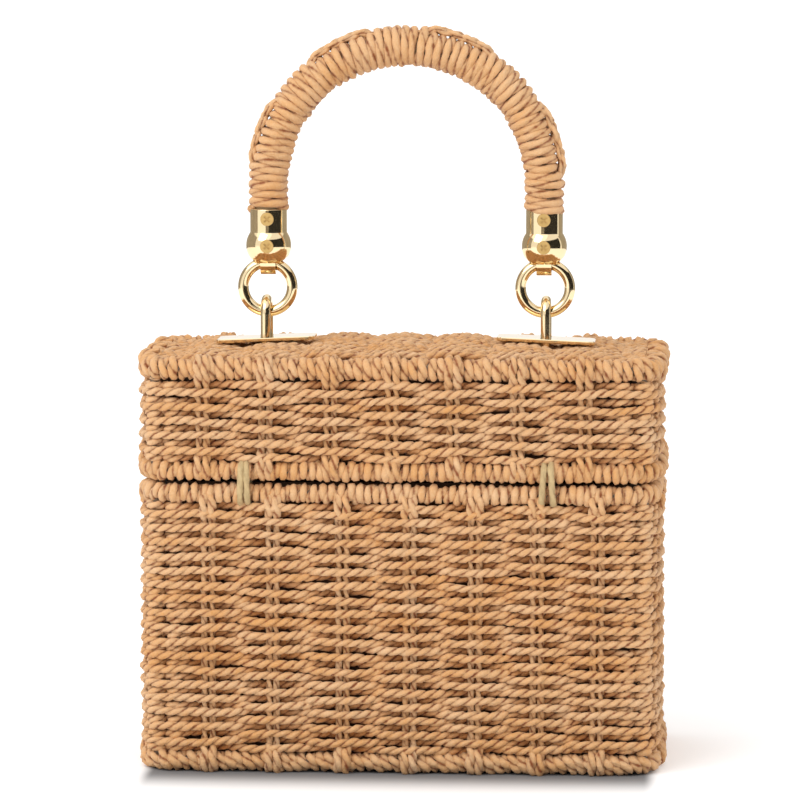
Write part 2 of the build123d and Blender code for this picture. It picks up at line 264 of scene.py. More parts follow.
def woven_rows():
    """One outline repeated as rows of weft, each passing the stakes on the other side from the last."""
    tree = Tree(
        "woven_rows",
        (("Rows", "Int"), ("Row step", "Vector"), ("Swing", "Float"), ("Wobble", "Float"),
         ("Crown x", "Float"), ("Crown y", "Float"), ("Crown", "Float")) + CORD_INPUTS,
    )
    given = tree.inputs
    outline = tree.add("GeometryNodeMeshToCurve", {"Mesh": given["Geometry"]})[0]
    outline = tree.add("GeometryNodeSetCurveRadius", {"Curve": outline, "Radius": 1.0})[0]
    copies = tree.add(
        "GeometryNodeDuplicateElements", {"Geometry": outline, "Amount": given["Rows"]}, domain="SPLINE"
    )
    row = copies["Duplicate Index"]
    even = tree.add("GeometryNodeInputNamedAttribute", {"Name": "passing"}, data_type="FLOAT")[0]
    odd = tree.add("GeometryNodeInputNamedAttribute", {"Name": "passing_next"}, data_type="FLOAT")[0]
    turns = tree.math("MODULO", tree.math("ADD", row, 0.01), 2.0)
    turns = tree.math("GREATER_THAN", turns, 0.5)
    passing = tree.math("MULTIPLY_ADD", turns, tree.math("SUBTRACT", odd, even), even)
    tangent = tree.add("GeometryNodeInputTangent")[0]
    out = tree.vector("NORMALIZE", tree.vector("CROSS_PRODUCT", tangent, given["Row step"]))
    place = tree.add("GeometryNodeInputPosition")[0]
    shift = tree.add("ShaderNodeCombineXYZ", {"X": tree.math("MULTIPLY", row, 0.37)})[0]
    where = tree.vector("ADD", place, shift)
    swing = tree.math("MULTIPLY", passing, given["Swing"])
    sway = tree.math("MULTIPLY", tree.noise(where, 60.0), tree.math("MULTIPLY", given["Wobble"], 0.5))
    swing = tree.math("ADD", swing, sway)
    along = tree.vector("NORMALIZE", given["Row step"])
    shift = tree.vector("ADD", where, (3.1, 1.7, 0.4))
    wobble = tree.scaled(along, tree.math("MULTIPLY", tree.noise(shift, 55.0), given["Wobble"]))
    offset = tree.vector("ADD", tree.scaled(given["Row step"], row), tree.scaled(out, swing))
    offset = tree.vector("ADD", offset, wobble)
    # the lid's top is higher in the middle
    spot = tree.parts(tree.vector("ADD", place, tree.scaled(given["Row step"], row)))
    shares = {}
    for axis, label in (("X", "Crown x"), ("Y", "Crown y")):
        out_share = tree.math("POWER", tree.math("DIVIDE", spot[axis], given[label]), 2.0)
        shares[axis] = tree.math("SUBTRACT", 1.0, out_share)
    flatter = tree.math("MULTIPLY_ADD", shares["Y"], 0.6, 0.4)
    rise = tree.math("MULTIPLY", tree.math("MULTIPLY", shares["X"], flatter), given["Crown"])
    offset = tree.vector("ADD", offset, tree.add("ShaderNodeCombineXYZ", {"Z": rise})[0])
    # how far a weft passes behind the stakes, which the cord finish turns into painted shade
    rows = tree.store(copies["Geometry"], "hidden", tree.math("MULTIPLY", passing, -1.0))
    rows = tree.add("GeometryNodeSetPosition", {"Geometry": rows, "Offset": offset})[0]
    tree.cord(rows)
    return tree.group


def wound_cord():
    """A cord wound round the path of a bar, turn beside turn."""
    tree = Tree(
        "wound_cord",
        (("Points", "Int"), ("Per turn", "Int"), ("Winding", "Float"), ("Rise", "Float"), ("Lean", "Float"),
         ("Up", "Vector"), ("Unevenness", "Float")) + CORD_INPUTS,
    )
    given = tree.inputs
    path = tree.add(
        "GeometryNodeResampleCurve", {"Curve": given["Geometry"], "Count": given["Points"]}, mode="COUNT"
    )[0]
    order = tree.add("GeometryNodeSplineParameter")["Index"]
    angle = tree.math("DIVIDE", tree.math("MULTIPLY", order, 2 * math.pi), given["Per turn"])
    tangent = tree.add("GeometryNodeInputTangent")[0]
    out = tree.vector("NORMALIZE", tree.vector("CROSS_PRODUCT", tangent, given["Up"]))
    place = tree.add("GeometryNodeInputPosition")[0]
    radius = tree.math("MULTIPLY_ADD", tree.noise(place, 160.0), given["Unevenness"], given["Winding"])
    sine = tree.math("SINE", angle)
    cosine = tree.math("COSINE", angle)
    # the path's own radius swells or draws in the winding's outer side
    outer = tree.math("MULTIPLY_ADD", cosine, 0.5, 0.5)
    swell = tree.math("SUBTRACT", tree.add("GeometryNodeInputRadius")[0], 1.0)
    swell = tree.math("MULTIPLY_ADD", swell, outer, 1.0)
    offset = tree.vector(
        "ADD",
        tree.scaled(out, tree.math("MULTIPLY", tree.math("MULTIPLY", cosine, radius), swell)),
        tree.scaled(given["Up"], tree.math("MULTIPLY", tree.math("MULTIPLY", sine, radius), given["Rise"])),
    )
    apart = tree.vector("ADD", place, (2.3, 0.9, 1.1))
    drift = tree.math("MULTIPLY", tree.noise(apart, 130.0), given["Unevenness"])
    slide = tree.math("ADD", tree.math("MULTIPLY", sine, given["Lean"]), drift)
    offset = tree.vector("ADD", offset, tree.scaled(tangent, slide))
    turns = tree.add("GeometryNodeSetPosition", {"Geometry": path, "Offset": offset})[0]
    turns = tree.add("GeometryNodeSetCurveRadius", {"Curve": turns, "Radius": 1.0})[0]
    tree.cord(turns)
    return tree.group


def plaited_strand():
    """Three strands plaited along a path, flat across the Up direction."""
    tree = Tree(
        "plaited_strand",
        (("Pitch", "Float"), ("Half width", "Float"), ("Half height", "Float"), ("Up", "Vector"))
        + CORD_INPUTS,
    )
    given = tree.inputs
    path = tree.add(
        "GeometryNodeResampleCurve", {"Curve": given["Geometry"], "Length": given["Step"]}, mode="LENGTH"
    )[0]
    copies = tree.add("GeometryNodeDuplicateElements", {"Geometry": path, "Amount": 3}, domain="SPLINE")
    length = tree.add("GeometryNodeSplineParameter")["Length"]
    turn = tree.math("DIVIDE", tree.math("MULTIPLY", length, 2 * math.pi), given["Pitch"])
    turn = tree.math("MULTIPLY_ADD", copies["Duplicate Index"], 2 * math.pi / 3, turn)
    tangent = tree.add("GeometryNodeInputTangent")[0]
    out = tree.vector("NORMALIZE", tree.vector("CROSS_PRODUCT", tangent, given["Up"]))
    across = tree.math("MULTIPLY", tree.math("SINE", turn), given["Half width"])
    over = tree.math("MULTIPLY", tree.math("SINE", tree.math("MULTIPLY", turn, 2.0)), given["Half height"])
    offset = tree.vector("ADD", tree.scaled(given["Up"], across), tree.scaled(out, over))
    strands = tree.add("GeometryNodeSetPosition", {"Geometry": copies["Geometry"], "Offset": offset})[0]
    tree.cord(strands)
    return tree.group


PLAIN_CORDS = plain_cords()
WOVEN_ROWS = woven_rows()
WOUND_CORD = wound_cord()
PLAITED_STRAND = plaited_strand()


def grown(name, source, tree, body, values):
    """The plain mesh that a node tree makes of a source object, riding on a body."""
    carrier = bpy.data.objects.new(f"{name}_lines", source)
    bpy.context.scene.collection.objects.link(carrier)
    modifier = carrier.modifiers.new("grow", "NODES")
    modifier.node_group = tree
    for item in tree.interface.items_tree:
        if item.in_out == "INPUT" and item.name in values:
            modifier[item.identifier] = values[item.name]
    bpy.context.view_layer.update()
    seen = carrier.evaluated_get(bpy.context.evaluated_depsgraph_get())
    mesh = bpy.data.meshes.new_from_object(seen)
    mesh.name = name
    carrier.modifiers.remove(modifier)
    bpy.data.objects.remove(carrier)
    piece = bpy.data.objects.new(name, mesh)
    bpy.context.scene.collection.objects.link(piece)
    if body:
        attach(piece, body)
    return piece


def cord_values(diameter, lay, step, material, seed, sides=6, groove=0.62):
    """The inputs that every cord's tree has."""
    return {
        "Diameter": diameter, "Lay": lay, "Step": step, "Sides": sides,
        "Groove": groove, "Seed": seed, "Material": material,
    }


def lines(name, routes, closed=False):
    """A curve with one straight-sided spline through each route. A point's fourth number is its radius."""
    data = bpy.data.curves.new(name, "CURVE")
    data.dimensions = "3D"
    for route in routes:
        spline = data.splines.new("POLY")
        spline.points.add(len(route) - 1)
        for point, place in zip(spline.points, route):
            point.co = (*place[:3], 1.0)
            point.radius = place[3] if len(place) > 3 else 1.0
        spline.use_cyclic_u = closed
    return data


def rounded(points, pieces=8):
    """A smooth line through the points."""
    result = []
    last = len(points) - 1
    for i in range(last):
        before, start, end, after = (
            Vector(points[max(i - 1, 0)]), Vector(points[i]),
            Vector(points[i + 1]), Vector(points[min(i + 2, last)]),
        )
        for k in range(pieces):
            t = k / pieces
            result.append(
                0.5 * (2 * start + (end - before) * t
                       + (2 * before - 5 * start + 4 * end - after) * t * t
                       + (3 * start - before - 3 * end + after) * t ** 3)
            )
    result.append(Vector(points[last]))
    return result


# ---- materials ----
class Finish:
    """A material's node tree, as it is being built."""

    def __init__(self, name):
        self.material = bpy.data.materials.new(name)
        self.material.use_nodes = True
        self.nodes = self.material.node_tree.nodes
        self.shader = self.nodes["Principled BSDF"]

    def add(self, kind, values=None, **settings):
        node = self.nodes.new(kind)
        for key, value in settings.items():
            setattr(node, key, value)
        for label, value in (values or {}).items():
            socket = socket_of(node.inputs, label) if isinstance(label, str) else node.inputs[label]
            self.put(socket, value)
        return outputs_of(node)

    def put(self, socket, value):
        if isinstance(value, bpy.types.NodeSocket):
            self.material.node_tree.links.new(value, socket)
        else:
            socket.default_value = value

    def set(self, **values):
        for label, value in values.items():
            self.put(self.shader.inputs[label.replace("_", " ")], value)

    def attribute(self, name):
        return self.add("ShaderNodeAttribute", attribute_name=name)["Fac"]

    def math(self, operation, a, b=0.0, c=0.0):
        return self.add("ShaderNodeMath", {0: a, 1: b, 2: c}, operation=operation)[0]

    def noise(self, where, scale, detail=3.0):
        return self.add("ShaderNodeTexNoise", {"Vector": where, "Scale": scale, "Detail": detail})["Fac"]

    def mix(self, share, a, b, kind="MIX"):
        values = {"Factor_Float": share, "A_Color": a, "B_Color": b}
        return self.add("ShaderNodeMix", values, data_type="RGBA", blend_type=kind)["Result_Color"]

    def ramp(self, value, *stops):
        node = self.nodes.new("ShaderNodeValToRGB")
        for place, colour in stops[2:]:
            node.color_ramp.elements.new(place)
        for element, (place, colour) in zip(node.color_ramp.elements, stops):
            element.position = place
            element.color = colour
        self.put(node.inputs[0], value)
        return node.outputs[0]

    def bump(self, height, strength, distance):
        values = {"Height": height, "Strength": strength, "Distance": distance}
        self.set(Normal=self.add("ShaderNodeBump", values)["Normal"])


def cord_finish(name, light, dark, painted_groove_shade, sheen):
    """Twisted paper cord: streaked along its fibres, with painted shade between its plies and on wefts that
    pass behind the stakes.
    """
    finish = Finish(name)
    ply = finish.attribute("ply")
    tone = finish.attribute("tone")
    along = finish.attribute("along")
    streak = finish.add("ShaderNodeCombineXYZ", {
        "X": finish.math("MULTIPLY", along, 150.0),
        "Y": finish.math("MULTIPLY", ply, 8.0),
        "Z": finish.math("MULTIPLY", tone, 90.0),
    })[0]
    place = finish.add("ShaderNodeTexCoord")["Object"]
    fibre = finish.noise(streak, 1.0, 4.0)
    patch = finish.noise(place, 75.0, 2.0)
    speck = finish.noise(place, 1500.0, 2.0)
    blend = finish.math("MULTIPLY_ADD", fibre, 0.55, finish.math("MULTIPLY", patch, 0.75))
    blend = finish.math("ADD", blend, finish.math("MULTIPLY", finish.math("SUBTRACT", tone, 0.5), 0.28))
    blend = finish.math("ADD", blend, finish.math("MULTIPLY", finish.math("SUBTRACT", speck, 0.5), 0.55))
    colour = finish.ramp(blend, (0.32, dark), (0.95, light))
    # painted shade between the plies, which noise fades in and out along the cord
    groove_shade_fade = finish.math("MULTIPLY", finish.math("SUBTRACT", finish.noise(place, 330.0, 2.0), 0.42), 1.5)
    painted_groove_colour = (painted_groove_shade, painted_groove_shade**1.8, painted_groove_shade**2.5, 1)
    groove = finish.ramp(finish.math("ADD", ply, groove_shade_fade), (0.0, painted_groove_colour), (0.62, WHITE))
    colour = finish.mix(1.0, colour, groove, "MULTIPLY")
    # painted shade on wefts where they pass behind the stakes, darkest where the hidden attribute reaches 1
    painted_recess_shade = finish.ramp(finish.attribute("hidden"), (0.0, WHITE), (1.0, (0.76, 0.55, 0.37, 1)))
    colour = finish.mix(1.0, colour, painted_recess_shade, "MULTIPLY")
    finish.set(Base_Color=colour, Roughness=0.72, Sheen_Weight=sheen, Sheen_Roughness=0.5)
    finish.set(Specular_IOR_Level=0.35)
    height = finish.math("MULTIPLY_ADD", fibre, 0.6, finish.math("MULTIPLY", ply, 0.4))
    height = finish.math("MULTIPLY_ADD", speck, 0.45, height)
    height = finish.math("MULTIPLY_ADD", finish.noise(place, 620.0, 3.0), 0.9, height)
    finish.bump(height, 0.95, 0.55 * MM)
    return finish.material


def gilt():
    """Polished pale gold plating, very slightly uneven."""
    finish = Finish("gilt")
    place = finish.add("ShaderNodeTexCoord")["Object"]
    cloud = finish.noise(place, 120.0, 3.0)
    colour = finish.mix(cloud, (0.86, 0.66, 0.38, 1), (0.93, 0.76, 0.48, 1))
    rough = finish.math("MULTIPLY_ADD", cloud, 0.06, 0.05)
    finish.set(Base_Color=colour, Metallic=1.0, Roughness=rough)
    finish.bump(finish.noise(place, 900.0, 2.0), 0.04, 0.05 * MM)
    return finish.material


def brass():
    """Duller, yellower brass for the small screws."""
    finish = Finish("screw_brass")
    place = finish.add("ShaderNodeTexCoord")["Object"]
    cloud = finish.noise(place, 500.0, 2.0)
    colour = finish.mix(cloud, (0.60, 0.38, 0.12, 1), (0.75, 0.50, 0.19, 1))
    finish.set(Base_Color=colour, Metallic=0.5, Roughness=0.32)
    finish.bump(cloud, 0.15, 0.1 * MM)
    return finish.material


def bare_wire():
    """Steel wire, darkened with age."""
    finish = Finish("bare_wire")
    place = finish.add("ShaderNodeTexCoord")["Object"]
    cloud = finish.noise(place, 400.0, 4.0)
    colour = finish.mix(cloud, (0.10, 0.07, 0.045, 1), (0.22, 0.16, 0.11, 1))
    finish.set(Base_Color=colour, Metallic=0.4, Roughness=0.5)
    finish.bump(cloud, 0.2, 0.1 * MM)
    return finish.material


def lining_cloth():
    """Plain brown cloth with its fine weave."""
    finish = Finish("lining_cloth")
    place = finish.add("ShaderNodeTexCoord")["Object"]
    spot = finish.add("ShaderNodeSeparateXYZ", {0: place})
    threads = [finish.math("SINE", finish.math("MULTIPLY", spot[axis], 9000.0)) for axis in "XYZ"]
    weave = finish.math("MULTIPLY", threads[2], finish.math("ADD", threads[0], threads[1]))
    weave = finish.math("MULTIPLY_ADD", weave, 0.25, 0.5)
    cloud = finish.noise(place, 60.0, 3.0)
    share = finish.math("MULTIPLY_ADD", cloud, 0.6, finish.math("MULTIPLY", weave, 0.3))
    colour = finish.mix(share, (0.045, 0.02, 0.01, 1), (0.17, 0.085, 0.042, 1))
    finish.set(Base_Color=colour, Roughness=0.9, Sheen_Weight=0.2)
    finish.bump(weave, 0.4, 0.15 * MM)
    return finish.material


def cane():
    """The handle's bare core."""
    finish = Finish("cane")
    place = finish.add("ShaderNodeTexCoord")["Object"]
    grain = finish.noise(place, 500.0, 5.0)
    finish.set(Base_Color=finish.mix(grain, (0.3, 0.19, 0.09, 1), (0.52, 0.37, 0.2, 1)), Roughness=0.6)
    finish.bump(grain, 0.3, 0.2 * MM)
    return finish.material


def nickel():
    """The magnets' dull plating."""
    finish = Finish("nickel")
    place = finish.add("ShaderNodeTexCoord")["Object"]
    cloud = finish.noise(place, 300.0, 3.0)
    finish.set(Base_Color=finish.mix(cloud, (0.5, 0.5, 0.48, 1), (0.7, 0.7, 0.68, 1)), Metallic=1.0)
    finish.set(Roughness=finish.math("MULTIPLY_ADD", cloud, 0.2, 0.2))
    return finish.material


PAPER_CORD = cord_finish("paper_cord", (0.68, 0.43, 0.235, 1), (0.60, 0.285, 0.088, 1), 0.35, 0.1)
RIM_PAPER = cord_finish("rim_paper_cord", (0.68, 0.435, 0.24, 1), (0.61, 0.30, 0.10, 1), 0.38, 0.1)
WAXED_CORD = cord_finish("waxed_cord", (0.55, 0.405, 0.205, 1), (0.46, 0.32, 0.15, 1), 1.0, 0.05)
GILT = gilt()
SCREW_BRASS = brass()
BARE_WIRE = bare_wire()
LINING_CLOTH = lining_cloth()
CANE = cane()
NICKEL = nickel()


# ---- outlines of the basket ----
def perimeter(inset, gap):
    """Points round the basket, inset from the rims' outer face, from its left hinge-side corner."""
    half_x = HALF_X - inset
    half_y = HALF_Y - inset
    radius = CORNER + RIM_RADIUS - inset
    corners = ((1, -1, -90), (1, 1, 0), (-1, 1, 90), (-1, -1, 180))
    points = []
    steps = max(4, round(radius * math.pi / 2 / gap))
    previous = Vector((-(half_x - radius), -half_y))
    for sign_x, sign_y, begin in corners:
        centre = Vector((sign_x * (half_x - radius), sign_y * (half_y - radius)))
        arc = []
        for k in range(steps + 1):
            turn = math.radians(begin + 90 * k / steps)
            arc.append(centre + radius * Vector((math.cos(turn), math.sin(turn))))
        run = (arc[0] - previous).length
        count = max(1, round(run / gap))
        points += [previous.lerp(arc[0], k / count) for k in range(count)]
        points += arc[:-1]
        previous = arc[-1]
    return points


def from_behind(values):
    """A closed outline's values begun half way round, so that its join lies at the back."""
    middle = len(values) // 2
    return values[middle:] + values[:middle]


def stations(points, front):
    """The stake count, whole at each stake and post, at every point of a perimeter."""
    back = [-x for x in reversed(front)]
    half_y = max(p.y for p in points)
    half_x = max(p.x for p in points)
    side = [y * MM for y in SIDE_STAKES]
    post_x, post_y = post_places()[2]
    marks = [Vector((-post_x, -post_y))]
    marks += [Vector((x * MM, -half_y)) for x in front] + [Vector((post_x, -post_y))]
    marks += [Vector((half_x, y)) for y in side] + [Vector((post_x, post_y))]
    marks += [Vector((-x * MM, half_y)) for x in back] + [Vector((-post_x, post_y))]
    marks += [Vector((-half_x, -y)) for y in side]
    where = [min(range(len(points)), key=lambda i: (points[i] - mark).length) for mark in marks]
    total = len(points)
    where = [(w - where[0]) % total for w in where] + [total]
    counts = []
    for k in range(len(where) - 1):
        run = where[k + 1] - where[k]
        counts += [k + i / run for i in range(run)]
    first = min(range(total), key=lambda i: (points[i] - marks[0]).length)
    return points[first:] + points[:first], counts


def post_places():
    """The frame's corner posts, seen from above."""
    turn = CORNER * (1 - math.cos(math.radians(45)))
    x = HALF_X - RIM_RADIUS - turn
    y = HALF_Y - RIM_RADIUS - turn
    return [(-x, -y), (x, -y), (x, y), (-x, y)]


def passing_line(name, points, passing, passing_next, closed):
    """A mesh line that holds how far the wefts of even and odd rows have swung out at each point."""
    mesh = bpy.data.meshes.new(name)
    count = len(points)
    edges = [(i, (i + 1) % count) for i in range(count if closed else count - 1)]
    mesh.from_pydata([tuple(p) for p in points], edges, [])
    for label, values in (("passing", passing), ("passing_next", passing_next)):
        mesh.attributes.new(label, "FLOAT", "POINT").data.foreach_set("value", values)
    return mesh


def eased(share):
    """A cosine made a little fuller, as a cord lies over a pair of stakes."""
    return math.copysign(abs(share) ** 0.8, share)


def rows_between(z_low, z_high):
    return round((z_high - z_low - 2 * ROW_INSET) / ROW_PITCH) + 1


def woven_wall(name, z_low, z_high, front, body, seed, first=0, rows=None):
    """The wefts round a wall, or those of its rows from the given first one, which is an even one."""
    rows = rows or rows_between(z_low, z_high)
    points, counts = stations(perimeter(WALL_PLANE, GAUGE), front)
    posts = (0, len(front) + 1, len(front) + 5, 2 * len(front) + 6, 2 * len(front) + 10)
    passing = []
    passing_next = []
    for u in counts:
        wave = eased(math.cos(math.pi * u))
        near = min(abs(u - post) for post in posts)
        # an even row dives in just past a post
        dip = math.exp(-(((near - 0.2) / 0.1) ** 2))
        dive = (1 - dip) * eased(math.cos(math.pi * near**0.8)) - 1.2 * dip if near < 1 else wave
        passing.append(dive)
        # every row goes outside the corner posts
        passing_next.append(1 - 0.35 * math.sin(math.pi * near) if near < 1 else -wave)
    low = z_low + ROW_INSET
    high = z_high - ROW_INSET
    pitch = (high - low) / (rows_between(z_low, z_high) - 1)
    row = [(p.x, p.y, low + first * pitch) for p in from_behind(points)]
    line = passing_line(name, row, from_behind(passing), from_behind(passing_next), True)
    values = cord_values(WEFT, WEFT_LAY, 1.18 * MM, PAPER_CORD, seed, sides=8)
    values |= {"Rows": rows, "Row step": (0, 0, pitch), "Swing": SWING, "Wobble": 3.0 * MM,
               "Crown x": 1.0, "Crown y": 1.0, "Crown": 0.0}
    return grown(name, line, WOVEN_ROWS, body, values)


def woven_panel(name, surface, inward, front, body, crown, seed):
    """The wefts across the lid's top or the basket's bottom."""
    reach_x = HALF_X - 2 * RIM_RADIUS + 1.2 * MM
    reach_y = HALF_Y - 2 * RIM_RADIUS - WEFT * 0.35
    count = round(2 * reach_x / GAUGE)
    xs = [-reach_x + 2 * reach_x * i / count for i in range(count + 1)]
    marks = [-HALF_X + WALL_PLANE] + [x * MM for x in front] + [HALF_X - WALL_PLANE]
    passing = []
    for x in xs:
        k = max(i for i in range(len(marks) - 1) if marks[i] <= x)
        u = k + (x - marks[k]) / (marks[k + 1] - marks[k])
        passing.append(eased(math.cos(math.pi * u)))
    rows = round(2 * reach_y / ROW_PITCH) + 1
    pitch = 2 * reach_y / (rows - 1)
    plane = surface + inward * (WEFT / 2 + PANEL_SWING)
    other = [-p for p in passing]
    line = passing_line(name, [(x, -reach_y, plane) for x in xs], passing, other, False)
    values = cord_values(WEFT, WEFT_LAY, 1.2 * MM, PAPER_CORD, seed, sides=6)
    values |= {"Rows": rows, "Row step": (0, pitch, 0), "Swing": PANEL_SWING, "Wobble": 2.0 * MM,
               "Crown x": reach_x, "Crown y": HALF_Y, "Crown": crown}
    return grown(name, line, WOVEN_ROWS, body, values)


# ---- stakes ----
def crown_at(x, y):
    """How much higher the lid's top is at a place than at its rim."""
    share_x = 1 - (x / (HALF_X - 2 * RIM_RADIUS)) ** 2
    share_y = 1 - (y / HALF_Y) ** 2
    return CROWN * share_x * (0.4 + 0.6 * share_y)


def paired(route, across, rng):
    """The two cords of a stake: the route moved about half a pair's spacing each way."""
    shift = Vector((*across, 0)) * STAKE_PAIR / 2
    cords = []
    for side in (-1, 1):
        slips = [side * rng.uniform(0.88, 1.05) + rng.uniform(-0.12, 0.12) for _ in route]
        cords.append([Vector(p) + slip * shift for p, slip in zip(route, slips)])
    return cords


def over_rim(z, above, tucked=False, flat=False):
    """A stake's way round the outside of a rim, as (inset, height) pairs going up."""
    rim = RIM_RADIUS
    if tucked:  # up into the rim's wrapping from below
        return [(WALL_PLANE, z - 3.2 * rim), (WALL_PLANE, z - 2.6 * rim), (1.6 * MM, z - 1.9 * rim),
                (0.9 * MM, z - 1.2 * rim), (0.9 * MM, z - 0.5 * rim), (3.0 * MM, z)]
    if above:  # over the top of the rim to its inside
        return [(WALL_PLANE, z - 2.6 * rim), (WALL_PLANE - 0.9 * MM, z - 1.5 * rim),
                (0.55 * MM, z - 0.8 * rim), (-0.35 * MM, z), (0.9 * MM, z + 0.74 * rim),
                (3.0 * MM, z + 0.94 * rim), (rim + 2.4 * MM, z + 0.9 * rim)]
    if flat:  # close round the rim that rolls over the basket's as the lid opens
        return [(rim + 3.0 * MM, z - 0.5 * rim), (4.0 * MM, z - 0.56 * rim),
                (2.5 * MM, z - 0.46 * rim), (1.0 * MM, z + 0.1 * rim), (0.8 * MM, z + 0.85 * rim),
                (WALL_PLANE - 0.9 * MM, z + 1.5 * rim), (WALL_PLANE, z + 2.6 * rim)]
    return [(rim + 3.0 * MM, z - 0.62 * rim), (3.4 * MM, z - 0.74 * rim), (1.2 * MM, z - 0.66 * rim),
            (-0.3 * MM, z), (0.6 * MM, z + 0.8 * rim), (WALL_PLANE - 0.9 * MM, z + 1.5 * rim),
            (WALL_PLANE, z + 2.6 * rim)]


def plumpness(inset):
    """A stake's cord lies full over a rim and is pressed thinner in the weave."""
    return 1.22 if inset < WALL_PLANE - 0.5 * MM else 0.92


def hoop(x, low, high, closed_above):
    """A stake's route from one side over the closed panel to the other side, at x."""
    low_z = (low[0][2] + low[1][2]) / 2
    high_z = (high[0][2] + high[1][2]) / 2
    climb = over_rim(low_z, False, flat=closed_above) + over_rim(high_z, True, tucked=not closed_above)
    if not closed_above:
        climb.reverse()
    near = [(x, -HALF_Y + inset, z, plumpness(inset)) for inset, z in climb]
    far = [(x, HALF_Y - inset, z, plumpness(inset)) for inset, z in reversed(climb)]
    ys = [-0.6, -0.3, 0.0, 0.3, 0.6]
    if closed_above:
        plane = LID_TOP - WEFT / 2 - PANEL_SWING
        middle = [(x, y * HALF_Y, plane + crown_at(x, y * HALF_Y), 0.9) for y in ys]
        edge_z = plane + crown_at(x, HALF_Y) + 0.6 * MM
        middle = [(x, -HALF_Y + 13 * MM, edge_z, 1.0)] + middle + [(x, HALF_Y - 13 * MM, edge_z, 1.0)]
    else:
        plane = WEFT / 2 + PANEL_SWING
        middle = [(x, y * HALF_Y, plane, 0.9) for y in ys]
    return near + middle + far


def side_stake(y, sign, low, high, tucked):
    """A stake's route up an end wall, at y."""
    low_z = (low[0][2] + low[1][2]) / 2
    high_z = (high[0][2] + high[1][2]) / 2
    climb = over_rim(low_z, False) + over_rim(high_z, True, tucked)
    return [(sign * (HALF_X - inset), y, z, plumpness(inset)) for inset, z in climb]


def stakes(name, low, high, front, closed_above, body, seed):
    """All the stakes of the basket or the lid."""
    rng = random.Random(seed)
    routes = []
    for x in front:
        for route in paired(hoop(x * MM, low, high, closed_above), (1, 0, 0), rng):
            routes.append(rounded(route, 6))
    for y in SIDE_STAKES:
        for sign in (-1, 1):
            for route in paired(side_stake(y * MM, sign, low, high, not closed_above), (0, 1, 0), rng):
                routes.append(rounded(route, 6))
    values = cord_values(STAKE, STAKE_LAY, 0.95 * MM, RIM_PAPER, seed)
    return grown(name, lines(name, routes), PLAIN_CORDS, body, values)


# ---- rims, corner posts, ties ----
def wrapped_rim(name, node, body, lean, seed, extra=0.0):
    """A rim's cord, wound round its wire and, by the extra height, round what lies under it."""
    z = (RIM[node][0][2] + RIM[node][1][2] - extra) / 2
    points = from_behind(perimeter(RIM_RADIUS, 1.0 * MM))
    length = sum((points[i] - points[i - 1]).length for i in range(len(points)))
    turns = round(length / RIM_PITCH)
    line = lines(name, [[(p.x, p.y, z) for p in points]], closed=True)
    values = cord_values(RIM_CORD, RIM_LAY, 1.25 * MM, RIM_PAPER, seed, sides=8, groove=0.64)
    values |= {"Points": 13 * turns, "Per turn": 13, "Winding": RIM_RADIUS - RIM_CORD / 2 + 0.2 * MM,
               "Rise": 1 + extra / (2 * RIM_RADIUS - RIM_CORD), "Lean": lean,
               "Up": (0, 0, 1), "Unevenness": 1.7 * MM}
    return grown(name, line, WOUND_CORD, body, values)


def wrapped_posts(name, z_low, z_high, body, seed):
    """Thin cord wound round the frame's corner posts."""
    routes = [[(x, y, z_low), (x, y, (z_low + z_high) / 2), (x, y, z_high)] for x, y in post_places()]
    turns = round((z_high - z_low) / (1.35 * POST_CORD))
    values = cord_values(POST_CORD, 6 * MM, 1.2 * MM, RIM_PAPER, seed)
    values |= {"Points": 10 * turns + 1, "Per turn": 10, "Winding": WIRE / 2 - 0.1 * MM, "Rise": 1.0,
               "Lean": 0.0, "Up": (1, 0, 0), "Unevenness": 0.2 * MM}
    return grown(name, lines(name, routes), WOUND_CORD, body, values)


def hinge_tie(side, splay_low, splay_high, seed):
    """Two turns of smooth cord round both rims."""
    x = TIES[side]
    reach = RIM_RADIUS + TIE_CORD * 0.5
    centre_y = -HALF_Y + RIM_RADIUS
    low_z = BODY_TOP - RIM_RADIUS
    high_z = LID_LOW + RIM_RADIUS
    routes = []
    for sign in (-1, 1):
        route = []
        for k in range(48):
            turn = math.pi + 2 * math.pi * (k + 0.5) / 48
            up = math.sin(turn)
            z = (high_z if up > 0 else low_z) + (reach - 1.6 * MM) * up
            share = (z - low_z) / (high_z - low_z)
            spread = splay_low + (splay_high - splay_low) * min(max(share, -0.3), 1.3)
            route.append((x + sign * spread / 2, centre_y - reach * math.cos(turn), z))
        routes.append(route)
    values = cord_values(TIE_CORD, 14 * MM, 0.8 * MM, WAXED_CORD, seed, sides=10, groove=0.95)
    piece = grown(f"tie_{side}", lines(f"tie_{side}", routes, closed=True), PLAIN_CORDS, None, values)
    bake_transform(piece)
    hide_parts(f"hinge_tie_{side}")
    return piece


# ---- handle ----
def arch_route(radius_at, low, gap):
    """Up one leg, round the arch, whose radius may change with its angle, and down the other."""
    route = []
    leg = round((ARCH_Z - low) / gap)
    for k in range(leg):
        z = low + (ARCH_Z - low) * k / leg
        route.append((-radius_at(math.pi), 0.0, z))
    steps = round(math.pi * LEG_X / gap)
    for k in range(steps + 1):
        angle = math.pi * (1 - k / steps)
        radius = radius_at(angle)
        route.append((radius * math.cos(angle), 0.0, ARCH_Z + radius * math.sin(angle)))
    for k in range(1, leg + 1):
        z = ARCH_Z - (ARCH_Z - low) * k / leg
        route.append((radius_at(0.0), 0.0, z))
    return route


# Where the plaited strand lies over the wrapping, in degrees round the arch.
BRAID_SHOWN = ((4.0, 30.0), (57.0, 81.5), (104.0, 128.0), (148.0, 171.5))


def braid_shown(angle):
    """How far the strand has come out at an angle of the arch, from 0 to 1."""
    degrees = math.degrees(angle)
    shown = 0.0
    for low, high in BRAID_SHOWN:
        ends = min((degrees - low) / 5.0, (high - degrees) / 5.0)
        shown = max(shown, min(max(ends + 0.5, 0.0), 1.0))
    return shown * shown * (3 - 2 * shown)


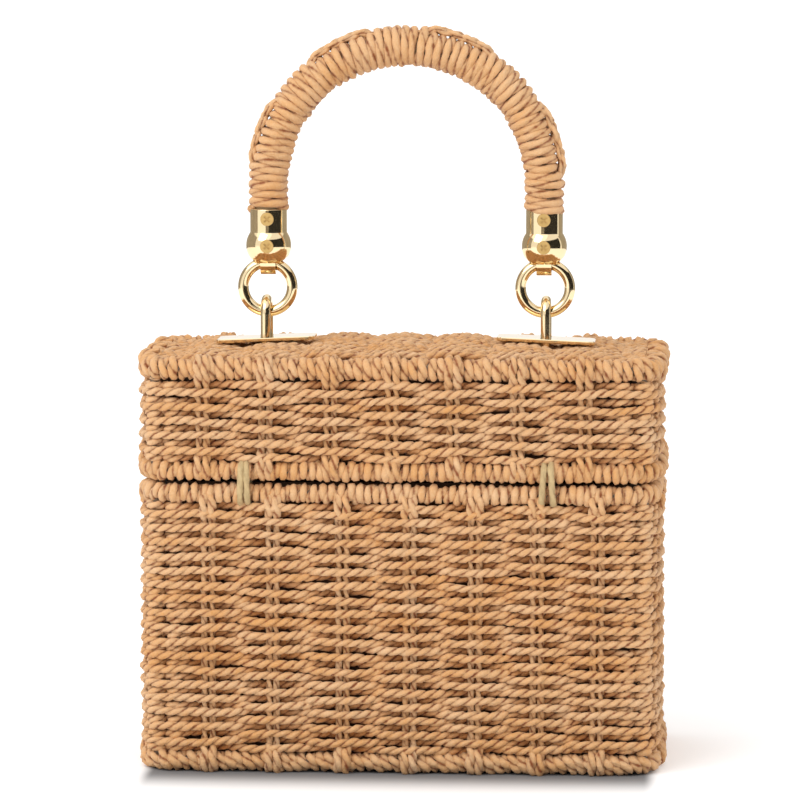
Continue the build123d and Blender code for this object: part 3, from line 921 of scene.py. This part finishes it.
def braid_radius(angle):
    """The plaited strand's distance from the arch's centre."""
    shown = braid_shown(angle)
    return LEG_X + GRIP_RADIUS - 3.2 * MM + shown * 2.4 * MM


def handle():
    """The cord wound round the handle, and the plaited strand that goes in and out of it."""
    route = arch_route(lambda angle: LEG_X, GRIP_LOW - HANDLE_CORD * 0.1, 1.0 * MM)
    length = sum((Vector(route[i + 1]) - Vector(route[i])).length for i in range(len(route) - 1))
    turns = round(length / HANDLE_PITCH)
    values = cord_values(HANDLE_CORD, 24 * MM, 1.3 * MM, RIM_PAPER, 31, sides=10, groove=0.78)
    values |= {"Points": 30 * turns + 1, "Per turn": 30, "Winding": GRIP_RADIUS - HANDLE_CORD / 2,
               "Rise": 1.0, "Lean": -0.7 * MM, "Up": (0, 1, 0), "Unevenness": 2.2 * MM}
    for k, (x, y, z) in enumerate(route):
        angle = math.atan2(z - ARCH_Z, x) if z > ARCH_Z else (0.0 if x > 0 else math.pi)
        route[k] = (x, y, z, 1.0 - 0.26 * braid_shown(angle))
    grip = grown("grip_wrapping", lines("grip", [route]), WOUND_CORD, "handle", values)
    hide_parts("handle_wrap")
    route = arch_route(braid_radius, GRIP_LOW + 0.5 * MM, 0.8 * MM)
    values = cord_values(BRAID_CORD, 14 * MM, 0.7 * MM, RIM_PAPER, 32, sides=8)
    values |= {"Pitch": 19 * MM, "Half width": 1.5 * MM, "Half height": 0.5 * MM, "Up": (0, 1, 0)}
    braid = grown("grip_braid", lines("braid", [route]), PLAITED_STRAND, "handle", values)
    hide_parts("handle_braid")


# ---- lining ----
def lining(name, node, body, open_low):
    """A cloth liner with soft creases, open at one end."""
    low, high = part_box(node)
    outline = perimeter(HALF_X - high[0] + 0.5 * MM, 3.0 * MM)
    count = len(outline)
    levels = 26
    rings = 10
    verts = []
    faces = []

    def panel_z(x, y):
        return high[2] - CROWN + crown_at(x, y) if open_low else low[2]

    def crease(i, share):
        return 0.3 * MM * math.sin(i * 0.55 + 2.0 * math.sin(share * 8.0)) * math.sin(math.pi * share)

    for level in range(levels + 1):
        share = level / levels
        for i, p in enumerate(outline):
            inward = Vector((p.x, p.y)).normalized() * crease(i, share)
            x, y = p.x - inward.x, p.y - inward.y
            start, end = (low[2], panel_z(x, y)) if open_low else (high[2], panel_z(x, y))
            verts.append((x, y, start + (end - start) * share))
    for ring in range(1, rings):
        share = 1 - ring / rings
        for p in outline:
            x, y = p.x * share, p.y * share
            verts.append((x, y, panel_z(x, y)))
    verts.append((0, 0, panel_z(0, 0)))
    last = len(verts) - 1
    for row in range(levels + rings - 1):
        for i in range(count):
            a = row * count + i
            b = row * count + (i + 1) % count
            faces.append((a, b, b + count, a + count))
    for i in range(count):
        faces.append((last - count + i, last - count + (i + 1) % count, last))
    if not open_low:
        faces = [tuple(reversed(face)) for face in faces]
    mesh = bpy.data.meshes.new(name)
    mesh.from_pydata(verts, [], faces)
    mesh.polygons.foreach_set("use_smooth", [True] * len(mesh.polygons))
    mesh.materials.append(LINING_CLOTH)
    piece = bpy.data.objects.new(name, mesh)
    bpy.context.scene.collection.objects.link(piece)
    wall = piece.modifiers.new("wall", "SOLIDIFY")
    wall.thickness = 0.5 * MM
    wall.offset = -1
    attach(piece, body)
    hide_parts(node)
    return piece


# ---- build ----
def basket():
    """The basket's wefts, stakes, posts and rims."""
    between = (2 * RIM_RADIUS, BODY_TOP - 2 * RIM_RADIUS)
    rows = rows_between(*between)
    half = rows // 4 * 2
    wall = woven_wall("basket_lower_wefts", *between, BODY_STAKES, "basket", 1, 0, half)
    upper = woven_wall("basket_upper_wefts", *between, BODY_STAKES, "basket", 7, half, rows - half)
    bottom = woven_panel("bottom_wefts", 0.15 * MM, 1, BODY_STAKES, "basket", 0.0, 2)
    low, high = RIM["body_bottom_rim"], RIM["body_top_rim"]
    uprights = stakes("basket_stakes", low, high, BODY_STAKES, False, "basket", 3)
    posts = wrapped_posts("basket_posts", 2 * RIM_RADIUS, BODY_TOP - 2 * RIM_RADIUS, "basket", 4)
    for piece in (wall, upper, bottom, uprights, posts):
        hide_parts("body_weave")
    for node, lean, seed in (("body_bottom_rim", -2.2 * MM, 5), ("body_top_rim", 0.2 * MM, 6)):
        rim = wrapped_rim(f"{node}_cord", node, "basket", lean, seed)
        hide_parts(node)


def lid():
    """The lid's wefts, stakes, posts and rims."""
    wall_top = LID_TOP - 2 * RIM_RADIUS - TOP_RIM_EXTRA - TOP_ROW_GAP
    wall = woven_wall("lid_wefts", LID_LOW + 2 * RIM_RADIUS, wall_top, LID_STAKES, "lid", 11)
    top = woven_panel("lid_top_wefts", LID_TOP, -1, LID_STAKES, "lid", CROWN, 12)
    low, high = RIM["lid_bottom_rim"], RIM["lid_top_rim"]
    uprights = stakes("lid_stakes", low, high, LID_STAKES, True, "lid", 13)
    posts = wrapped_posts("lid_posts", LID_LOW + 2 * RIM_RADIUS, LID_TOP - 2 * RIM_RADIUS, "lid", 14)
    for piece in (wall, top, uprights, posts):
        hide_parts("lid_weave")
    rims = (("lid_bottom_rim", 0.2 * MM, 0.0, 15), ("lid_top_rim", -0.9 * MM, TOP_RIM_EXTRA, 16))
    for node, lean, extra, seed in rims:
        rim = wrapped_rim(f"{node}_cord", node, "lid", lean, seed, extra)
        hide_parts(node)


basket()
lid()
lining("basket_liner", "body_lining", "basket", False)
lining("lid_liner", "lid_lining", "lid", True)
hinge_tie("left", 2.7 * MM, 2.1 * MM, 21)
hinge_tie("right", 4.2 * MM, 2.9 * MM, 22)
handle()

FINISH_OF_SLOT = {
    "gilt": GILT, "frame_wire": BARE_WIRE, "cane": CANE, "magnet": NICKEL, "lining": LINING_CLOTH,
    "paper_cord": PAPER_CORD, "tie_cord": WAXED_CORD,
}
for row in frame["record"]["subparts"]:
    node = frame["nodes"][row["node"]]
    for slot in node.material_slots:
        slot.material = SCREW_BRASS if "screw" in row["node"] else FINISH_OF_SLOT[row["material_slot"]]


# ---- studio ----
def softbox(name, place, aim, energy, width):
    """A large square light facing a point."""
    data = bpy.data.lights.new(name, "AREA")
    data.energy = energy
    data.shape = "RECTANGLE"
    data.size, data.size_y = width, width
    lamp = bpy.data.objects.new(name, data)
    lamp.location = place
    lamp.rotation_euler = (Vector(aim) - Vector(place)).to_track_quat("-Z", "Y").to_euler()
    bpy.context.scene.collection.objects.link(lamp)


def studio():
    """A white floor and world, the floor with a painted contact shadow beside the base and a painted glow
    elsewhere, the lights, and the boards that the plating reflects.
    """
    floor_mesh = bpy.data.meshes.new("studio_floor")
    reach = 40.0
    corners = [(-reach, -reach, 0), (reach, -reach, 0), (reach, reach, 0), (-reach, reach, 0)]
    floor_mesh.from_pydata(corners, [], [(0, 1, 2, 3)])
    floor = bpy.data.objects.new("studio_floor", floor_mesh)
    finish = Finish("studio_white_painted_shadow_and_glow")
    place = finish.add("ShaderNodeTexCoord")["Object"]
    white = finish.mix(finish.noise(place, 3.0), (0.93, 0.93, 0.93, 1), (0.95, 0.95, 0.95, 1))
    # painted shadow: the floor's colour darkens right beside the base
    spot = finish.add("ShaderNodeSeparateXYZ", {"Vector": place})
    away = {}
    for axis, edge, fade in (("X", HALF_X - 7 * MM, 4 * MM), ("Y", HALF_Y, 25 * MM)):
        beyond = finish.math("SUBTRACT", finish.math("ABSOLUTE", spot[axis]), edge)
        beyond = finish.math("MAXIMUM", beyond, 0.0)
        away[axis] = finish.math("POWER", finish.math("DIVIDE", beyond, fade), 2.0)
    near = finish.math("MULTIPLY", finish.math("ADD", away["X"], away["Y"]), -1.0)
    near = finish.math("EXPONENT", near)
    finish.set(Base_Color=finish.mix(near, white, (0.18, 0.18, 0.185, 1)), Roughness=0.9)
    # painted light: the floor glows a little away from the base, lifting the key light's cast shadow toward
    # white
    painted_floor_glow = finish.math("MULTIPLY", finish.math("SUBTRACT", 1.0, near), 0.13)
    finish.set(Emission_Color=WHITE, Emission_Strength=painted_floor_glow)
    floor_mesh.materials.append(finish.material)
    bpy.context.scene.collection.objects.link(floor)
    world = bpy.data.worlds.new("studio_world")
    bpy.context.scene.world = world
    world.use_nodes = True
    background = world.node_tree.nodes["Background"]
    background.inputs["Color"].default_value = WHITE
    background.inputs["Strength"].default_value = 1.02
    bpy.context.scene.view_settings.view_transform = "Standard"
    softbox("key", (-0.85, -1.15, 1.45), (0, 0, 0.1), 12.0, 1.2)
    sun = bpy.data.lights.new("room", "SUN")
    sun.energy = 0.45
    sun.angle = math.radians(70)
    room = bpy.data.objects.new("room", sun)
    room.rotation_euler = (math.radians(28), math.radians(-22), 0)
    bpy.context.scene.collection.objects.link(room)
    flag("dark_flag", 3, 92, (0.0, 1.1), 0.01)
    flag("grey_flag", 100, 165, (-0.1, 1.2), 0.3)
    flag("tan_flag", -160, -68, (-0.1, 1.2), 0.3)
    flag("low_flag", -16, 3, (-0.05, 0.3), 0.22)


def flag(name, start, end, heights, shade):
    """A curved board that only polished metal shows, between two angles going right from the hinge side."""
    radius = 1.5
    steps = 8
    verts = []
    for k in range(steps + 1):
        angle = math.radians(start + (end - start) * k / steps)
        for z in heights:
            verts.append((radius * math.sin(angle), -radius * math.cos(angle), z))
    faces = [(2 * k, 2 * k + 1, 2 * k + 3, 2 * k + 2) for k in range(steps)]
    mesh = bpy.data.meshes.new(name)
    mesh.from_pydata(verts, [], faces)
    board = bpy.data.objects.new(name, mesh)
    finish = Finish(name)
    place = finish.add("ShaderNodeTexCoord")["Object"]
    colours = [(shade * k, shade * 0.92 * k, shade * 0.8 * k, 1) for k in (0.8, 1.2)]
    finish.set(Base_Color=finish.mix(finish.noise(place, 2.0), *colours), Roughness=0.9)
    mesh.materials.append(finish.material)
    bpy.context.scene.collection.objects.link(board)
    board.visible_camera = False
    board.visible_diffuse = False
    board.visible_shadow = False


def camera():
    """The view from a little above and to the right of the hinge side."""
    centre = Vector((-2.5 * MM, 0, 141.5 * MM))
    distance, azimuth, elevation = 1.864, math.radians(3.7), math.radians(5.9)
    data = bpy.data.cameras.new("camera")
    data.lens = 210.6
    data.sensor_width = 36.0
    data.clip_end = 50.0
    eye = bpy.data.objects.new("camera", data)
    eye.location = centre + distance * Vector((
        math.sin(azimuth) * math.cos(elevation),
        -math.cos(azimuth) * math.cos(elevation),
        math.sin(elevation),
    ))
    eye.rotation_euler = (centre - eye.location).to_track_quat("-Z", "Y").to_euler()
    bpy.context.scene.collection.objects.link(eye)
    bpy.context.scene.camera = eye


studio()
camera()
